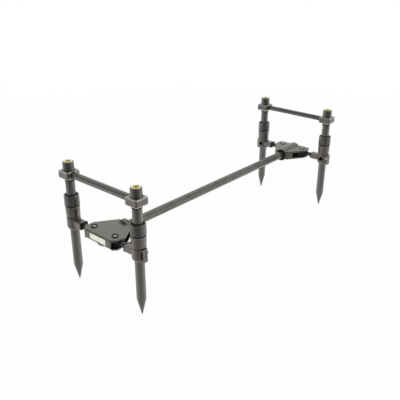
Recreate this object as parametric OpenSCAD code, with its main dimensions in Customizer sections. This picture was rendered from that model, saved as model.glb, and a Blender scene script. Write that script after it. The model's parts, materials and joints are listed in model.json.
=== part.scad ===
// Rod pod: two folding goalposts with sliding legs, one at each end of a long bar.
// Units are millimetres and +Z is up. The leg tips stand on Z = 0.
// X runs from leg to leg, Y runs along the main bar, near end at -Y.

/* [Stand] */
// Distance between the two leg axes of one goalpost
leg_spacing = 162; // [150:1:200]
// Distance between the two goalposts
post_spacing = 560; // [300:1:900]
// Height of the bar and stub axis above the ground
axis_height = 114; // [90:1:160]

/* [Leg] */
// Outside diameter of the leg tube
leg_d = 16; // [14:0.5:20]
// Wall of the leg tube
leg_wall = 1.6; // [1.2:0.1:2]
// Length of the pointed tip
leg_tip_length = 30; // [20:1:40]
// Diameter of the small flat at the very tip
leg_tip_flat_d = 1.6; // [1:0.1:4]
// Height of the leg's top end above the stub axis
leg_above_axis = 76; // [70:1:110]
// Running clearance of the leg in its sleeve, on radius
leg_fit = 0.06; // [0.03:0.01:0.1]
// Length of the plug in the top of the leg
plug_length = 25; // [20:1:40]

/* [Collar] */
// Wall of the sleeve round the leg
sleeve_wall = 4; // [3.5:0.1:5]
// Height of the sleeve above the stub axis
sleeve_half = 10; // [9:0.5:12]
// Length of the sleeve below the stub axis
sleeve_below = 13; // [10:0.5:15]
// Height of the bevel at the foot of the sleeve
sleeve_bevel = 4.5; // [2:0.5:6]
// Width of the groove above the sleeve
groove_width = 1.4; // [0.6:0.1:1.5]
// Depth of the groove above the sleeve
groove_depth = 1; // [0.4:0.1:1]
// Height of the tapered housing above the groove
housing_height = 19.3; // [16:0.1:24]
// How far the housing widens towards its top
housing_flare = 0.8; // [0:0.1:1.2]
// Wall of the threaded neck and its collet together
neck_wall = 2.5; // [2.2:0.1:2.8]
// Wall of the collet in the neck
collet_wall = 1.35; // [1:0.05:1.5]
// Width of the slot in the collet
collet_slot = 1.4; // [1:0.1:2]
// Height of the collet's seat above the housing
collet_seat = 2.5; // [2:0.1:3]
// Thickness of the seal between housing and lock nut
mid_seal_t = 2.2; // [1:0.1:2.4]
// How far the seal's edge lies inside the housing's edge
mid_seal_inset = 0.3; // [0.2:0.1:1]
// Height of the lock nut
nut_height = 18.5; // [17:0.1:26]
// Wall of the lock nut at its wide lower end
nut_wall = 2.5; // [2:0.1:3.5]
// How much smaller the lock nut's top radius is
nut_taper = 0.4; // [0:0.1:1]
// Bevel round the foot of the lock nut
nut_foot_bevel = 0.4; // [0.2:0.1:1]
// Bevel round the top of the lock nut
nut_bevel = 1.4; // [0.8:0.1:1.8]
// Flat rim of the lock nut between its bevel and the wiper ring
nut_rim = 0.6; // [0.3:0.1:1]
// Height of the lock nut's closed end above the neck
nut_cap = 8.1; // [6:0.1:10]
// Running clearance between neck and lock nut, on radius
nut_fit = 0.08; // [0.04:0.01:0.1]
// Depth of the wiper ring's groove in the nut
wiper_depth = 2.5; // [1.5:0.1:3.5]
// How far the wiper ring stands up out of the nut
wiper_proud = 0.5; // [0.4:0.1:2]

/* [Arm and ear] */
// Distance from the leg axis to the arm's inner end
arm_reach = 26; // [22:0.5:32]
// Wall of the flat arm above and below the stub
arm_wall = 1.2; // [1:0.1:2.5]
// Wall of the flat arm in front of and behind the stub
arm_side_wall = 3.2; // [2:0.1:4]
// Thickness of the gasket on the arm's end
gasket_t = 2; // [1:0.1:3]
// How far the ear stands out from the sleeve
ear_proud = 2.3; // [1.8:0.1:4]
// Width of the ear
ear_width = 10.6; // [9:0.1:13]
// Width of the saw cut through the ear
ear_cut = 1.2; // [0.8:0.1:1.6]
// Width of the ear's nut across its corners
ear_nut_d = 5.6; // [5:0.1:6]
// Height of the pocket in the ear's outer face
pocket_height = 11; // [8:0.5:13]
// Width of the pocket in the ear's outer face
pocket_width = 3.3; // [3:0.1:3.5]
// Diameter of the round recess that faces the middle of the stand
recess_d = 10.6; // [9:0.1:11]
// Diameter of the grub screw
grub_d = 9.6; // [6:0.1:10]

/* [Hub] */
// Diameter of the stub rods
stub_d = 9; // [8:0.1:10.5]
// Running clearance of the stub in the arm, on radius
stub_fit = 0.05; // [0.03:0.01:0.1]
// Half width of the front face
hub_front_half = 32; // [29:0.5:34]
// Half width of the hub where the stubs leave it
hub_wide_half = 40; // [38:0.5:44]
// Distance from the stub axis to the front face
hub_front = 16.5; // [14:0.5:20]
// Distance from the front face to where the hub is widest
hub_front_corner = 8; // [5:0.5:9]
// Distance from the stub axis to the end of the clamp ring
hub_length = 47.5; // [42:0.5:55]
// Height of the upper plate's outer face above the axis
plate_top = 8.7; // [8:0.1:10]
// Depth of the lower plate's outer face below the axis
plate_bottom = 9.5; // [9:0.1:12]
// Thickness of the plate
plate_t = 3.5; // [2.5:0.1:3.5]
// Thickness of the front wall
front_wall_t = 3; // [2:0.1:4]
// Bevel along the upper edge of the front face
front_bevel_top = 2; // [0.5:0.1:2.5]
// Bevel along the lower edge of the front face
front_bevel_bottom = 3.5; // [0.5:0.1:3.5]
// Thickness of the side walls beside the clamp ring
side_wall_t = 3; // [2:0.1:4]
// Distance from the stub axis to where the side walls begin
side_wall_from = 34; // [20:0.5:36]
// Length of the clamp ring
ring_length = 9; // [7:0.5:18]
// Length of the slope from the flat shell up to the clamp ring
ring_rise = 4; // [3:0.5:8]
// Wall of the clamp ring
ring_wall = 2.2; // [1.4:0.1:3]
// How much the ridge widens towards the front
ridge_flare = 1.5; // [0:0.1:2.5]
// Distance of the hub screws from the bar
screw_offset = 26; // [25:0.5:28]
// Diameter of the hub screws
screw_d = 4; // [3.5:0.1:5]
// Width of the hub screws' heads
screw_head_d = 6.6; // [6:0.1:8]
// Height of the hub screws' heads
screw_head_h = 2.4; // [2:0.1:3]
// Width of the hub nuts across their corners
hub_nut_d = 8.2; // [7.5:0.1:8.4]
// Height of the hub nuts
hub_nut_h = 2.4; // [2:0.1:3.5]
// Diameter of the recesses for the hub screws' heads and nuts
screw_recess_d = 9; // [8.6:0.1:9.4]
// Diameter of the bosses round the hub screws
boss_d = 12; // [10:0.1:13]
// How far the bosses stand above the plate
boss_proud = 1.5; // [0.5:0.1:3]
// Radius of the black insert's round end
insert_r = 6.8; // [6.2:0.1:8]
// How far the insert's round end lies inside the hub's widest edge
insert_set_back = 0.5; // [0:0.1:2]

/* [Main bar] */
// Outside diameter of the main bar
bar_d = 15.6; // [14:0.1:18]
// Wall of the main bar
bar_wall = 1.6; // [1.2:0.1:2.5]
// Number of shallow flutes along the bar
flute_count = 8; // [6:1:12]
// Depth of the flutes
flute_depth = 0.35; // [0.1:0.05:0.6]
// Wall of the bush between bar and clamp ring
bush_wall = 3.5; // [2:0.1:4.2]
// How far the bush sits inside the clamp ring's mouth
bush_recess = 2.5; // [1:0.1:4]

/* [Head] */
// Thickness of the ring under the neck
oring_t = 2; // [1:0.1:3]
// Height of the neck under the end block
neck_height = 2.5; // [1.5:0.1:5]
// Width of the square end block
block_width = 25.4; // [24:0.1:30]
// Height of the end block
block_height = 13.5; // [13:0.1:18]
// Radius of the end block's upright corners
block_corner = 2.5; // [2:0.1:5]
// Diameter of the near cross bar between its end blocks
near_buzz_d = 12; // [9:0.1:12.4]
// Diameter of the far cross bar between its end blocks
far_buzz_d = 10.2; // [9:0.1:12.4]
// Depth of the cross bar's sockets in the end blocks
socket_depth = 7; // [5:0.1:7.5]
// Height of the head knob
knob_height = 15; // [14:0.1:22]
// Diameter of the knob at its foot
knob_foot_d = 19.4; // [18.5:0.1:25]
// Diameter of the knob at its top
knob_top_d = 18.4; // [17.4:0.1:20]
// Diameter of the brass insert
insert_d = 14.6; // [12:0.1:15]
// Diameter of the threaded hole in the brass insert
thread_hole_d = 8.4; // [8:0.1:9]
// Depth of the threaded hole
thread_hole_depth = 10.5; // [8:0.1:10.5]
// Diameter of the insert's stud
stud_d = 9.5; // [8:0.1:9.8]
// Running clearance of the stud, on radius
stud_fit = 0.06; // [0.03:0.01:0.1]

/* [Hidden] */
$fn = 64;
eps = 0.01;
// Clearance between pieces that are fixed to each other
fixed_fit = 0.02;
leg_r = leg_d / 2;
leg_bore_r = leg_r - leg_wall;
slide_r = leg_r + leg_fit;
sleeve_r = leg_r + sleeve_wall;
foot_r = leg_r + sleeve_wall * 0.35;
house_low_r = sleeve_r - 0.3;
house_top_r = house_low_r + housing_flare;
house_low_w = sleeve_half + groove_width / 2;
house_top_w = house_low_w + housing_height;
neck_r = leg_r + neck_wall;
collet_r = leg_r + collet_wall;
nut_low_w = house_top_w + mid_seal_t + 0.1;
nut_top_w = nut_low_w + nut_height;
nut_low_r = neck_r + nut_wall;
nut_top_r = nut_low_r - nut_taper;
neck_top_w = nut_top_w - nut_cap;
wiper_r = nut_top_r - nut_bevel - nut_rim;
stub_r = stub_d / 2;
arm_height = stub_d + 2 * arm_wall;
arm_width = stub_d + 2 * arm_side_wall;
stub_out = leg_spacing / 2 - slide_r - 1.6;
ear_r = sleeve_r + ear_proud;
ear_screw_r = (slide_r + ear_r) / 2 + 0.1;
ear_screw_w = 1.5;
bar_r = bar_d / 2;
bush_r = bar_r + bush_wall;
ring_r = bush_r + ring_wall;
ridge_r = ring_r + ridge_flare;
ridge_front = 12;
bar_end = 4;
ring_from = hub_length - ring_length;
bush_in = ring_from;
bush_out = hub_length - bush_recess;
plate_low = plate_top - plate_t;
plate_low_b = plate_bottom - plate_t;
stub_in = ridge_r + 1.5;
insert_in = stub_in + 1;
insert_out = hub_wide_half - insert_set_back;
insert_step = hub_wide_half - 4.5;
insert_half = 8;
insert_back = 18;
head_seat = plate_top - 1.5;
nut_seat = plate_bottom - 1.5;
wide_v = 9;
taper_v = hub_length - 4;
taper_end = ring_r + 3.5;
taper = (hub_wide_half - taper_end) / (taper_v - wide_v);
side_wall_u = side_wall_t * sqrt(1 + taper * taper);
oring_low_w = leg_above_axis;
neck_low_w = oring_low_w + oring_t;
block_low_w = neck_low_w + neck_height;
block_top_w = block_low_w + block_height;
buzz_w = (block_low_w + block_top_w) / 2;
buzz_half = leg_spacing / 2 - block_width / 2 + socket_depth;
knob_low_w = block_top_w + 0.1;
knob_top_w = knob_low_w + knob_height - 0.1;
brass_top_w = knob_top_w + 0.3;
brass_low_w = brass_top_w - thread_hole_depth - 1.8;
stud_r = stud_d / 2;
stud_low_w = leg_above_axis - 18;

// Corner points of the hub plate, anticlockwise, v towards the middle of the stand
hub_corners = [
    [-hub_front_half, -hub_front],
    [hub_front_half, -hub_front],
    [hub_wide_half, -hub_front + hub_front_corner],
    [hub_wide_half, wide_v],
    [taper_end, taper_v],
    [ring_r - 1, hub_length - 2],
    [-ring_r + 1, hub_length - 2],
    [-taper_end, taper_v],
    [-hub_wide_half, wide_v],
    [-hub_wide_half, -hub_front + hub_front_corner]
];

// Which sub-part to draw

// Half width of the hub at v on its tapering sides
function taper_u(v) = hub_wide_half - taper * (v - wide_v);

// Unit vector of v
function unit(v) = v / norm(v);

// Points of a rounded corner at p, between the neighbours a and b
function corner(p, a, b, r, n = 5) =
    let (
        u = unit(a - p),
        w = unit(b - p),
        half = acos(u * w) / 2,
        c = p + unit(u + w) * r / sin(half),
        s = p + u * r / tan(half) - c,
        e = p + w * r / tan(half) - c,
        a0 = atan2(s[1], s[0]),
        turn = atan2(s[0] * e[1] - s[1] * e[0], s * e)
    )
    [for (i = [0:n]) c + r * [cos(a0 + turn * i / n), sin(a0 + turn * i / n)]];

// Corners of a rectangle round the origin, from its half width and half height
function box_corners(u, w) = [[-u, -w], [u, -w], [u, w], [-u, w]];

// The polygon with every corner rounded
function rounded(pts, r) =
    let (n = len(pts))
    [for (i = [0:n - 1]) each corner(pts[i], pts[(i + n - 1) % n], pts[(i + 1) % n], r)];

// A place on one goalpost: origin on the stub axis, +Y towards the middle of the stand
module at_near() {
    translate([0, -post_spacing / 2, axis_height]) children();
}

// The same place on the far goalpost, turned by half a turn
module at_far() {
    rotate([0, 0, 180]) at_near() children();
}

// The far hub lies with its ridged side up
module turned_over() {
    rotate([0, 180, 0]) children();
}

// The right leg's axis on one goalpost
module on_right() {
    translate([leg_spacing / 2, 0, 0]) children();
}

// The left leg's axis, as the mirror of the right
module on_left() {
    mirror([1, 0, 0]) on_right() children();
}

// Both legs of one goalpost
module on_both() {
    on_right() children();
    on_left() children();
}

// A cylinder along X from x0 to x1
module rod_x(x0, x1, r) {
    translate([x0, 0, 0]) rotate([0, 90, 0]) cylinder(h = x1 - x0, r = r);
}

// A cylinder or cone along Y from y0 to y1
module rod_y(y0, y1, r0, r1) {
    translate([0, y0, 0]) rotate([-90, 0, 0]) cylinder(h = y1 - y0, r1 = r0, r2 = r1);
}

// A hexagonal prism, width across the corners d
module hex(d, h) {
    linear_extrude(h) polygon([for (i = [0:5]) d / 2 * [cos(60 * i), sin(60 * i)]]);
}

// Long round bar with shallow flutes, open at both ends
module main_bar() {
    half = post_spacing / 2 + bar_end;
    color("DimGray")
    translate([0, 0, axis_height])
    difference() {
        rod_y(-half, half, bar_r, bar_r);
        rod_y(-half - 1, half + 1, bar_r - bar_wall, bar_r - bar_wall);
        for (i = [0:flute_count - 1])
            rotate([0, 360 * i / flute_count, 0])
            translate([0, 0, bar_r + 1 - flute_depth])
            rod_y(-half - 1, half + 1, 1, 1);
    }
}

// What lies above the hub's joint face, up to a height
module upper_half(height) {
    intersection() {
        rotate([-90, 0, 0]) rotate_extrude() children();
        translate([-hub_wide_half, -hub_length, 0])
        cube([2 * hub_wide_half, 3 * hub_length, height]);
    }
}

// Profile of the ridged shell's ridge, from the front to the clamp ring
module ridge() {
    polygon([
        [0, -ridge_front],
        [ridge_r - 2, -ridge_front],
        [ridge_r, -ridge_front + 2],
        [ring_r, taper_v],
        [ring_r, hub_length - 0.6],
        [ring_r - 0.6, hub_length],
        [0, hub_length]
    ]);
}

// Profile of the saddle that holds the bar inside the flat shell
module saddle() {
    polygon([
        [0, -ridge_front],
        [ridge_r - 2, -ridge_front],
        [ridge_r, -ridge_front + 2],
        [ridge_r, ring_from + 1],
        [0, ring_from + 1]
    ]);
}

// Profile of the flat shell's clamp ring, with a slope from the radius r
module clamp_ring(r) {
    polygon([
        [0, ring_from - ring_rise],
        [r, ring_from - ring_rise],
        [ring_r, ring_from],
        [ring_r, hub_length - 0.6],
        [ring_r - 0.6, hub_length],
        [0, hub_length]
    ]);
}

// One half of the delta hub, drawn as the upper one: outer face of its plate, front bevel
// and whether its ridge stands above the plate
module hub_shell(out, front_bevel, ridged) {
    outline = rounded(hub_corners, 2.5);
    n = len(hub_corners);
    low = out - plate_t;
    difference() {
        union() {
            translate([0, 0, low])
            linear_extrude(plate_t) polygon(outline);
            // Front wall down to the joint face, inside the outline
            linear_extrude(out)
            intersection() {
                polygon(outline);
                translate([-hub_front_half, -hub_front])
                square([2 * hub_front_half, front_wall_t]);
            }
            // Side walls beside the clamp ring
            linear_extrude(out)
            difference() {
                polygon(outline);
                polygon([
                    [-hub_wide_half - 1, -hub_front - 1],
                    [hub_wide_half + 1, -hub_front - 1],
                    [hub_wide_half + 1, side_wall_from],
                    [taper_u(side_wall_from) - side_wall_u, side_wall_from],
                    [taper_u(taper_v) - side_wall_u, taper_v],
                    [side_wall_u - taper_u(taper_v), taper_v],
                    [side_wall_u - taper_u(side_wall_from), side_wall_from],
                    [-hub_wide_half - 1, side_wall_from]
                ]);
            }
            // Ridge over the bar, ending in the clamp ring
            if (ridged) upper_half(hub_wide_half) ridge();
            else {
                upper_half(out - plate_t / 2) saddle();
                upper_half(hub_wide_half) clamp_ring(out - 1);
            }
            for (s = [-1, 1])
                translate([s * screw_offset, 0, low])
                cylinder(h = plate_t + boss_proud, d1 = boss_d + 1, d2 = boss_d);
        }
        // Room for the bush, the bar's end and the rim chamfer
        rod_y(bush_in, hub_length + 1, bush_r + fixed_fit, bush_r + fixed_fit);
        rod_y(-bar_end - 3, bush_in + 1, bar_r + 0.1, bar_r + 0.1);
        rod_y(hub_length - 1, hub_length + eps, bush_r, bush_r + 1.1);
        for (s = [-1, 1]) {
            translate([s * screw_offset, 0, 0]) {
                cylinder(h = hub_length, d = screw_d + 0.2);
                translate([0, 0, out - 1.5]) cylinder(h = hub_length, d = screw_recess_d);
            }
            // Half-round doorway for the insert's round end
            mirror([s < 0 ? 1 : 0, 0, 0])
            rod_x(insert_step - fixed_fit, hub_wide_half + 5, insert_r + fixed_fit);
        }
        // Bevel along the straight edges of the plate, wider along the front
        for (i = [0:n - 1])
            if (i < 4 || i > 6)
            let (
                p = hub_corners[i],
                d = hub_corners[(i + 1) % n] - p,
                b = (i == 0 ? front_bevel : 1) * sqrt(2)
            )
            translate([p[0], p[1], out])
            rotate([0, 0, atan2(d[1], d[0])])
            translate([-1, 0, 0])
            rotate([45, 0, 0])
            translate([0, -b / 2, -b / 2])
            cube([norm(d) + 2, b, b]);
    }
}

// Black bush between the clamp ring and the bar
module bar_bush() {
    color("Black")
    difference() {
        rod_y(bush_in, bush_out, bush_r, bush_r);
        rod_y(bush_in - 1, bush_out + 1, bar_r + fixed_fit, bar_r + fixed_fit);
        rod_y(bush_out - 1, bush_out + eps, bar_r, bar_r + 1);
    }
}

// Black insert round one stub, with a round end in the hub's open side
module hub_insert() {
    difference() {
        union() {
            translate([0, 0, -plate_low_b])
            linear_extrude(plate_low + plate_low_b)
            polygon([
                [insert_in, -insert_half],
                [insert_step, -insert_half],
                [insert_step, insert_half],
                [taper_u(insert_back) - 6, insert_back],
                [insert_in, insert_back]
            ]);
            rod_x(insert_step - eps, insert_out - 1, insert_r);
            translate([insert_out - 1 - eps, 0, 0])
            rotate([0, 90, 0]) cylinder(h = 1 + eps, r1 = insert_r, r2 = insert_r - 1);
        }
        rod_x(insert_in - 1, insert_out + 1, stub_r + fixed_fit);
        translate([screw_offset, 0, -hub_length]) cylinder(h = 2 * hub_length, d = screw_d + 0.2);
    }
}

// Both inserts of one hub
module hub_inserts() {
    color("Black") {
        hub_insert();
        mirror([1, 0, 0]) hub_insert();
    }
}

// Round rod from the hub into the right arm
module stub() {
    color("DimGray")
    difference() {
        union() {
            rod_x(stub_in, stub_out - 0.8, stub_r);
            translate([stub_out - 0.8 - eps, 0, 0])
            rotate([0, 90, 0]) cylinder(h = 0.8 + eps, r1 = stub_r, r2 = stub_r - 0.8);
        }
        translate([screw_offset, 0, -hub_length]) cylinder(h = 2 * hub_length, d = screw_d + 0.2);
    }
}

// One hub screw with its nut
module hub_screw() {
    translate([screw_offset, 0, 0]) {
        difference() {
            union() {
                translate([0, 0, -nut_seat - hub_nut_h - 0.2])
                cylinder(h = head_seat + nut_seat + hub_nut_h + 0.2 + eps, d = screw_d);
                translate([0, 0, head_seat])
                rotate_extrude()
                polygon([
                    [0, 0],
                    [screw_head_d / 2, 0],
                    [screw_head_d / 2, screw_head_h - 1],
                    [screw_head_d / 2 - 1, screw_head_h],
                    [0, screw_head_h]
                ]);
            }
            translate([0, 0, head_seat + 0.8]) hex(0.7 * screw_d, screw_head_h);
        }
        difference() {
            translate([0, 0, -nut_seat - hub_nut_h]) hex(hub_nut_d, hub_nut_h);
            translate([0, 0, -hub_length]) cylinder(h = 2 * hub_length, d = screw_d + 2 * fixed_fit);
        }
    }
}

// Both screws of one hub
module hub_screws() {
    color("Silver") {
        hub_screw();
        mirror([1, 0, 0]) hub_screw();
    }
}

// Sleeve, housing and neck turned about the leg axis
module t_block_turning() {
    rotate_extrude()
    polygon([
        [slide_r, -sleeve_below],
        [foot_r, -sleeve_below],
        [sleeve_r - 0.9, -sleeve_below + sleeve_bevel * 0.72],
        [sleeve_r, -sleeve_below + sleeve_bevel],
        [sleeve_r, sleeve_half - groove_width / 2],
        [sleeve_r - groove_depth, sleeve_half - groove_width / 2],
        [sleeve_r - groove_depth, house_low_w],
        [house_low_r, house_low_w],
        [house_top_r, house_top_w - 1],
        [house_top_r - 1, house_top_w],
        [neck_r, house_top_w],
        [neck_r, neck_top_w - 0.6],
        [neck_r - 0.6, neck_top_w],
        [collet_r + fixed_fit, neck_top_w],
        [collet_r + fixed_fit, house_top_w + collet_seat],
        [slide_r, house_top_w + collet_seat - 1.5]
    ]);
}

// Sleeve with flat arm, split ear and collar housing, for the right leg
module t_block() {
    color("DimGray")
    difference() {
        union() {
            t_block_turning();
            // Flat arm with rounded long edges
            translate([-arm_reach, 0, 0])
            rotate([90, 0, 90])
            linear_extrude(arm_reach - slide_r - 1)
            polygon(rounded(box_corners(arm_width / 2, arm_height / 2), 1.2));
            // Outer ear
            translate([sleeve_r * 0.72, -ear_width / 2, -sleeve_below])
            cube([ear_r - sleeve_r * 0.72, ear_width, sleeve_below + sleeve_half - groove_width / 2]);
        }
        translate([0, 0, -sleeve_below - 1]) cylinder(h = sleeve_below + sleeve_half + 10, r = slide_r);
        rod_x(-arm_reach - 1, stub_out - leg_spacing / 2 + 0.6, stub_r + stub_fit);
        // Saw cut through ear and sleeve
        translate([slide_r - 1, -ear_cut / 2, -sleeve_below - 1])
        cube([ear_proud + sleeve_wall + 5, ear_cut, sleeve_below + sleeve_half - groove_width / 2]);
        // Pocket in the ear's outer face and the clamp screw's hole
        translate([ear_screw_r - pocket_width / 2, -ear_width / 2 - 1, ear_screw_w - pocket_height / 2 - 1.5])
        cube([pocket_width, 1 + 2.4, pocket_height]);
        translate([ear_screw_r, 0, ear_screw_w]) {
            rod_y(-ear_width, ear_width, 1.3, 1.3);
            rod_y(ear_width / 2, ear_width, ear_nut_d / 2 + 0.2, ear_nut_d / 2 + 0.2);
        }
        // Round recess and grub screw hole facing the middle of the stand
        rod_y(sleeve_r - 2, sleeve_r + 5, recess_d / 2, recess_d / 2);
        rod_y(slide_r - 1, sleeve_r, grub_d / 2 + fixed_fit, grub_d / 2 + fixed_fit);
        // Soft corners of the ear
        for (s = [-1, 1])
            translate([ear_r, s * ear_width / 2, -20])
            rotate([0, 0, 45]) translate([-0.8, -0.8, 0]) cube([1.6, 1.6, 40]);
    }
}

// Gaskets on the inner ends of both arms
module arm_gaskets() {
    color("Black")
    on_both()
    difference() {
        translate([-arm_reach - gasket_t, 0, 0])
        rotate([90, 0, 90])
        linear_extrude(gasket_t)
        polygon(rounded(box_corners(arm_width / 2 + 0.3, arm_height / 2 + 0.3), 1.2));
        rod_x(-arm_reach - gasket_t - 1, -arm_reach + 1, stub_r + stub_fit);
    }
}

// Black seals between housing and lock nut
module mid_seals() {
    color("Black")
    on_both()
    translate([0, 0, house_top_w])
    difference() {
        cylinder(h = mid_seal_t, r = house_top_r - mid_seal_inset);
        translate([0, 0, -1]) cylinder(h = mid_seal_t + 2, r = neck_r + fixed_fit);
    }
}

// Split collets inside the necks
module collets() {
    color("White")
    on_both()
    difference() {
        translate([0, 0, house_top_w + collet_seat + 0.1])
        cylinder(h = neck_top_w - house_top_w - collet_seat + 0.5, r = collet_r);
        translate([0, 0, house_top_w]) cylinder(h = 2 * nut_height, r = slide_r);
        translate([0, -collet_slot / 2, house_top_w]) cube([2 * leg_d, collet_slot, 2 * nut_height]);
    }
}

// Clamp screws across the ears, each with its nut
module ear_screws() {
    color("Silver")
    on_both()
    translate([ear_screw_r, 0, ear_screw_w]) {
        rod_y(-ear_width / 2 + 2.2, ear_width / 2 + 2.4, 1.25, 1.25);
        rod_y(-ear_width / 2 + 0.8, -ear_width / 2 + 2.3, 1.6, 1.6);
        difference() {
            translate([0, ear_width / 2, 0]) rotate([-90, 0, 0]) hex(ear_nut_d, 1.8);
            rod_y(0, ear_width, 1.25 + fixed_fit, 1.25 + fixed_fit);
        }
    }
}

// Grub screws in the round recesses
module grub_screws() {
    color("Black")
    on_both()
    difference() {
        rod_y(leg_r + 0.35, sleeve_r - 2.2, grub_d / 2, grub_d / 2);
        translate([0, sleeve_r - 3.2, 0]) rotate([-90, 0, 0]) hex(2.9, 5);
    }
}

// Tube with a long pointed tip, bored from the top
module leg() {
    top = axis_height + leg_above_axis;
    color("DimGray")
    translate([0, 0, -axis_height])
    rotate_extrude()
    polygon([
        [0, 0],
        [leg_tip_flat_d / 2, 0],
        [leg_r, leg_tip_length],
        [leg_r, top - 0.5],
        [leg_r - 0.5, top],
        [leg_bore_r, top],
        [leg_bore_r, leg_tip_length + 6],
        [0, leg_tip_length + 2]
    ]);
}

// Threaded plugs in the tops of both legs
module leg_plugs() {
    color("Silver")
    on_both()
    translate([0, 0, leg_above_axis - plug_length])
    difference() {
        cylinder(h = plug_length, r = leg_bore_r - fixed_fit);
        translate([0, 0, -1]) cylinder(h = plug_length + 2, r = stud_r + stud_fit);
    }
}

// Black rings under the necks of the end blocks
module o_rings() {
    color("Black")
    on_both()
    translate([0, 0, oring_low_w])
    rotate_extrude()
    polygon([
        [stud_r + stud_fit, 0],
        [leg_r + 0.1, 0],
        [leg_r + 0.5, oring_t * 0.3],
        [leg_r + 0.5, oring_t * 0.7],
        [leg_r + 0.1, oring_t],
        [stud_r + stud_fit, oring_t]
    ]);
}

// One slab of the end block: section in X and Z, drawn along Y
module block_slab(width, length) {
    b = 1.2;
    h = block_height;
    translate([0, length / 2, block_low_w])
    rotate([90, 0, 0])
    linear_extrude(length)
    polygon([
        [-width / 2 + b, 0], [width / 2 - b, 0], [width / 2, b], [width / 2, h - b],
        [width / 2 - b, h], [-width / 2 + b, h], [-width / 2, h - b], [-width / 2, b]
    ]);
}

// Rounded square block on the leg's top, with its neck and the cross bar's socket
module end_block(buzz_d) {
    b = 1.2;
    c = block_width / 2 - block_corner;
    color("DimGray")
    difference() {
        union() {
            block_slab(block_width, 2 * c);
            rotate([0, 0, 90]) block_slab(block_width, 2 * c);
            for (x = [-1, 1])
                for (y = [-1, 1])
                translate([x * c, y * c, block_low_w])
                rotate_extrude()
                polygon([
                    [0, 0], [block_corner - b, 0], [block_corner, b],
                    [block_corner, block_height - b], [block_corner - b, block_height], [0, block_height]
                ]);
            translate([0, 0, neck_low_w]) cylinder(h = neck_height + 1, r = leg_r + 0.8);
        }
        translate([0, 0, neck_low_w - 1])
        cylinder(h = neck_height + block_height + 2, r = stud_r + stud_fit);
        translate([0, 0, buzz_w])
        rod_x(-block_width / 2 - 1, -block_width / 2 + socket_depth + 0.05, buzz_d / 2 + fixed_fit);
    }
}

// Round cross bar between the end blocks
module buzz_bar(buzz_d) {
    color("DimGray")
    translate([0, 0, buzz_w])
    rod_x(-buzz_half, buzz_half, buzz_d / 2);
}

// Tapered upper half of the collar
module lock_nut() {
    color("DimGray")
    rotate_extrude()
    polygon([
        [neck_r + nut_fit, nut_low_w],
        [nut_low_r - nut_foot_bevel, nut_low_w],
        [nut_low_r, nut_low_w + nut_foot_bevel],
        [nut_top_r, nut_top_w - nut_bevel],
        [nut_top_r - nut_bevel, nut_top_w],
        [wiper_r, nut_top_w],
        [wiper_r, nut_top_w - wiper_depth],
        [leg_r + 0.35, nut_top_w - wiper_depth],
        [leg_r + 0.35, neck_top_w + 1],
        [neck_r + nut_fit, neck_top_w + 1]
    ]);
}

// Black wiper ring in the lock nut's top
module wiper() {
    color("Black")
    translate([0, 0, nut_top_w - wiper_depth])
    rotate_extrude()
    polygon([
        [leg_r + 0.1, 0],
        [wiper_r - fixed_fit, 0],
        [wiper_r - fixed_fit, wiper_depth + wiper_proud - 0.4],
        [wiper_r - 0.4, wiper_depth + wiper_proud],
        [leg_r + 0.1, wiper_depth + wiper_proud]
    ]);
}

// Short tapered head knob
module knob() {
    color("DimGray")
    rotate_extrude()
    polygon([
        [stud_r + 0.3, knob_low_w],
        [knob_foot_d / 2 - 0.5, knob_low_w],
        [knob_foot_d / 2, knob_low_w + 0.5],
        [knob_top_d / 2, knob_top_w - 0.9],
        [knob_top_d / 2 - 0.9, knob_top_w],
        [insert_d / 2 + fixed_fit, knob_top_w],
        [insert_d / 2 + fixed_fit, brass_low_w],
        [stud_r + 0.3, brass_low_w]
    ]);
}

// Brass insert with a blind threaded hole above and a stud below
module brass() {
    color("Goldenrod")
    rotate_extrude()
    polygon([
        [0, stud_low_w],
        [stud_r - 0.8, stud_low_w],
        [stud_r, stud_low_w + 0.8],
        [stud_r, brass_low_w],
        [insert_d / 2, brass_low_w],
        [insert_d / 2, brass_top_w - 0.4],
        [insert_d / 2 - 0.4, brass_top_w],
        [thread_hole_d / 2 + 0.6, brass_top_w],
        [thread_hole_d / 2, brass_top_w - 0.6],
        [thread_hole_d / 2, brass_top_w - thread_hole_depth],
        [0, brass_top_w - thread_hole_depth]
    ]);
}

// Flat hub shell, with the screws' heads
module flat_shell() {
    color("Gray") hub_shell(plate_top, front_bevel_top, false);
}

// Ridged hub shell, with the nuts, below the flat one
module ridged_shell() {
    color("Gray") mirror([0, 0, 1]) hub_shell(plate_bottom, front_bevel_bottom, true);
}

main_bar();
at_near() flat_shell();  // near_hub_top
at_near() ridged_shell();  // near_hub_bottom
at_near() bar_bush();  // near_bar_bush
at_near() hub_inserts();  // near_hub_inserts
at_near() hub_screws();  // near_hub_screws
at_near() arm_gaskets();  // near_arm_gaskets
at_near() mid_seals();  // near_mid_seals
at_near() collets();  // near_collets
at_near() ear_screws();  // near_ear_screws
at_near() grub_screws();  // near_grub_screws
at_near() leg_plugs();  // near_leg_plugs
at_near() o_rings();  // near_o_rings
at_near() buzz_bar(near_buzz_d);  // near_buzz_bar
at_near() mirror([1, 0, 0]) stub();  // near_left_stub
at_near() stub();  // near_right_stub
at_near() on_left() t_block();  // near_left_t_block
at_near() on_right() t_block();  // near_right_t_block
at_near() on_left() leg();  // near_left_leg
at_near() on_right() leg();  // near_right_leg
at_near() on_left() end_block(near_buzz_d);  // near_left_block
at_near() on_right() end_block(near_buzz_d);  // near_right_block
at_near() on_left() lock_nut();  // near_left_nut
at_near() on_right() lock_nut();  // near_right_nut
at_near() on_left() wiper();  // near_left_wiper
at_near() on_right() wiper();  // near_right_wiper
at_near() on_left() knob();  // near_left_knob
at_near() on_right() knob();  // near_right_knob
at_near() on_left() brass();  // near_left_brass
at_near() on_right() brass();  // near_right_brass
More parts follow.
